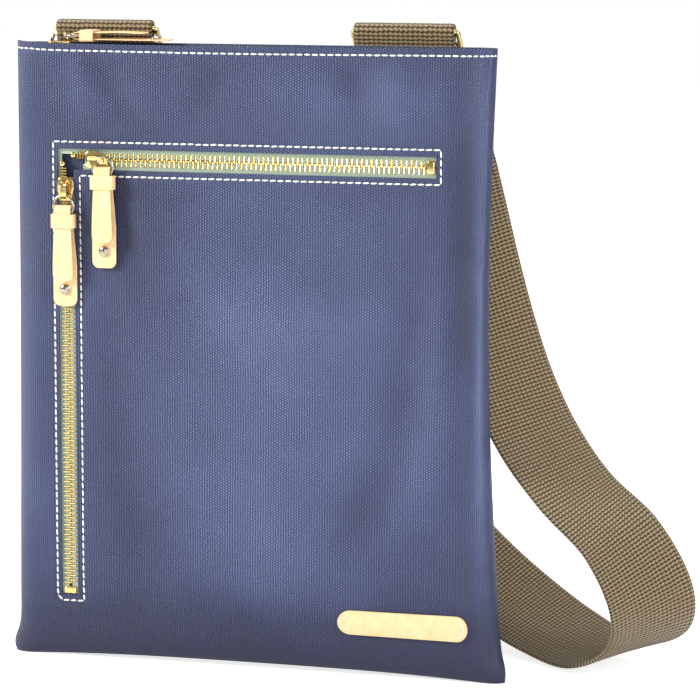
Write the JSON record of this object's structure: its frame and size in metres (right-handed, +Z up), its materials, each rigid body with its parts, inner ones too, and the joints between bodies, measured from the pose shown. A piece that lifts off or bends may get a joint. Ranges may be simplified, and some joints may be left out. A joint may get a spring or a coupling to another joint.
{
  "type": "messenger bag",
  "caption": "Flat upright messenger bag in coated canvas with an L-shaped zipped front pocket, a zipped top, leather zip pulls, a leather label and a wide webbing shoulder strap.",
  "frame": {"origin": "middle of the bag's base, on the surface it stands on", "axes": "+Z up, front face toward -Y, +X to the right as seen from the front"},
  "size_m": [0.3367, 0.1223, 0.3169],
  "materials": {
    "canvas": "coated navy cotton canvas, fine plain weave under a semi-gloss coating, white heavy topstitching",
    "lining": "plain cotton lining",
    "zip_tape": "sage green herringbone zip tape",
    "brass": "polished brass, lightly handled",
    "nickel": "polished nickel plate",
    "leather": "natural vegetable-tanned leather, smooth grain, paler cut edges",
    "webbing": "olive-tan heavy cotton webbing, ribbed weave"
  },
  "bodies": {
    "bag": {"front_panel": "canvas", "back_panel": "canvas", "front_pocket_lining": "lining", "main_lining_front": "lining", "main_lining_back": "lining", "label": "leather", "strap_tab_left": "webbing", "strap_tab_right": "webbing", "top_pocket_tape_upper": "zip_tape", "top_pocket_teeth_upper": "brass", "top_pocket_tape_lower": "zip_tape", "top_pocket_teeth_lower": "brass", "top_pocket_top_stop": "brass", "top_pocket_bottom_stop": "brass", "side_pocket_tape_inner": "zip_tape", "side_pocket_teeth_inner": "brass", "side_pocket_tape_outer": "zip_tape", "side_pocket_teeth_outer": "brass", "side_pocket_top_stop": "brass", "side_pocket_bottom_stop": "brass", "main_tape_back": "zip_tape", "main_teeth_back": "brass", "main_tape_front": "zip_tape", "main_teeth_front": "brass", "main_top_stop": "brass", "main_bottom_stop": "brass"},
    "top_pocket_slider": {"top_pocket_slider": "brass"},
    "top_pocket_pull": {"top_pocket_pull_ring": "nickel", "top_pocket_pull_leather": "leather", "top_pocket_pull_keeper": "leather", "top_pocket_pull_rivet": "nickel"},
    "side_pocket_slider": {"side_pocket_slider": "brass"},
    "side_pocket_pull": {"side_pocket_pull_ring": "nickel", "side_pocket_pull_leather": "leather", "side_pocket_pull_keeper": "leather", "side_pocket_pull_rivet": "nickel"},
    "main_slider": {"main_slider": "brass"},
    "main_pull": {"main_pull_ring": "nickel", "main_pull_leather": "leather", "main_pull_keeper": "leather", "main_pull_rivet": "nickel"},
    "strap": {"strap_ring_left": "brass", "strap_ring_right": "brass", "strap": "webbing", "strap_adjuster": "brass"}
  },
  "joints": [
    {"name": "top_pocket_zip_slide", "type": "slide", "parent": "bag", "child": "top_pocket_slider", "axis": [1, 0, 0], "range_m": [0, 0.158]},
    {"name": "top_pocket_pull_turn", "type": "hinge", "parent": "top_pocket_slider", "child": "top_pocket_pull", "pos_m": [-0.07946, -0.01177, 0.24992], "axis": [0, -0.0137, -0.9999], "range_deg": [0, 90]},
    {"name": "side_pocket_zip_slide", "type": "slide", "parent": "bag", "child": "side_pocket_slider", "axis": [0, -0.0137, -0.9999], "range_m": [0, 0.191]},
    {"name": "side_pocket_pull_lift", "type": "hinge", "parent": "side_pocket_slider", "child": "side_pocket_pull", "pos_m": [-0.0937, -0.01201, 0.23253], "axis": [-1, 0, 0], "range_deg": [0, 125]},
    {"name": "main_zip_slide", "type": "slide", "parent": "bag", "child": "main_slider", "axis": [1, 0, 0], "range_m": [0, 0.196]},
    {"name": "main_pull_lift", "type": "hinge", "parent": "main_slider", "child": "main_pull", "pos_m": [-0.0957, 0, 0.3095], "axis": [0, -1, 0], "range_deg": [0, 125]},
    {"name": "strap_swing", "type": "hinge", "parent": "bag", "child": "strap", "pos_m": [0, 0.0111, 0.313], "axis": [1, 0, 0], "range_deg": [0, 120]}
  ]
}
